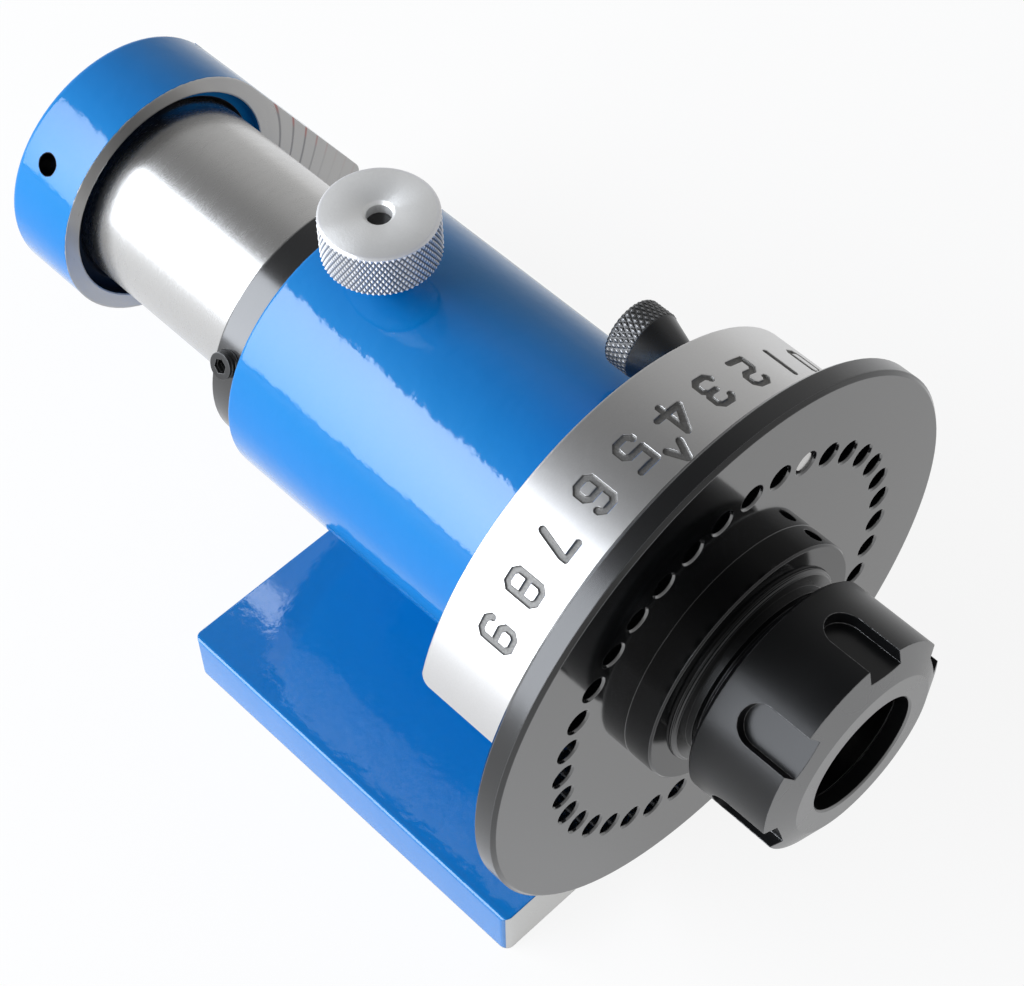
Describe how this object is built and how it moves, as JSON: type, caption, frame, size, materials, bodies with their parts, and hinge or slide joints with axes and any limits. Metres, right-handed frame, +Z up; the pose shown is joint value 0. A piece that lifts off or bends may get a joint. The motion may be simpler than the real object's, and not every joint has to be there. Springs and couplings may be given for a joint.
{
  "type": "spin index jig",
  "caption": "Spin index jig: a collet spindle turns in a cast housing, an index plate and a pin through a vernier row of holes set its angle, and a knurled screw locks it.",
  "frame": {"origin": "on the underside of the base, below the spindle axis and halfway along the base plate", "axes": "+Z up from the base, spindle along Y with the collet nose toward -Y, machined side face toward +X"},
  "size_m": [0.128, 0.2242, 0.134],
  "materials": {
    "casting_paint": "gloss",
    "ground_steel": "satin",
    "black_steel": "satin",
    "aluminium": "satin",
    "brass": "satin"
  },
  "bodies": {
    "housing": {"housing_casting": "casting_paint"},
    "spindle_group": {"spindle": "ground_steel", "index_plate": "black_steel", "hub_set_screw": "black_steel", "stop_collar": "black_steel", "stop_collar_set_screw": "black_steel"},
    "extractor": {"extractor_ring": "ground_steel"},
    "nut": {"collet_nut": "black_steel"},
    "index_pin": {"index_pin_head": "black_steel", "index_pin_shank": "ground_steel"},
    "lock_tip": {"lock_plug": "brass"},
    "lock_screw": {"lock_knob": "aluminium", "lock_stud": "black_steel"}
  },
  "joints": [
    {"name": "spindle_spin", "type": "hinge", "parent": "housing", "child": "spindle_group", "pos_m": [0, 0, 0.07], "axis": [0, -1, 0], "continuous": true},
    {"name": "nut_travel", "type": "slide", "parent": "spindle_group", "child": "extractor", "axis": [0, -1, 0], "range_m": [-0.003, 0.006]},
    {"name": "nut_turn", "type": "hinge", "parent": "extractor", "child": "nut", "pos_m": [0, -0.08, 0.07], "axis": [0, -1, 0], "range_deg": [-721, 1441]},
    {"name": "index_pin_slide", "type": "slide", "parent": "housing", "child": "index_pin", "axis": [0, 1, 0], "range_m": [0, 0.024]},
    {"name": "lock_travel", "type": "slide", "parent": "housing", "child": "lock_tip", "axis": [0, 0, 1], "range_m": [-0.0003, 0.0025]},
    {"name": "lock_turn", "type": "hinge", "parent": "lock_tip", "child": "lock_screw", "pos_m": [0, 0.0382, 0.115], "axis": [0, 0, 1], "range_deg": [-87, 721]}
  ],
  "couplings": [
    {"joint": "nut_turn", "follows": "nut_travel", "rad_per_m": 4188.8},
    {"joint": "lock_turn", "follows": "lock_travel", "rad_per_m": 5026.5}
  ]
}
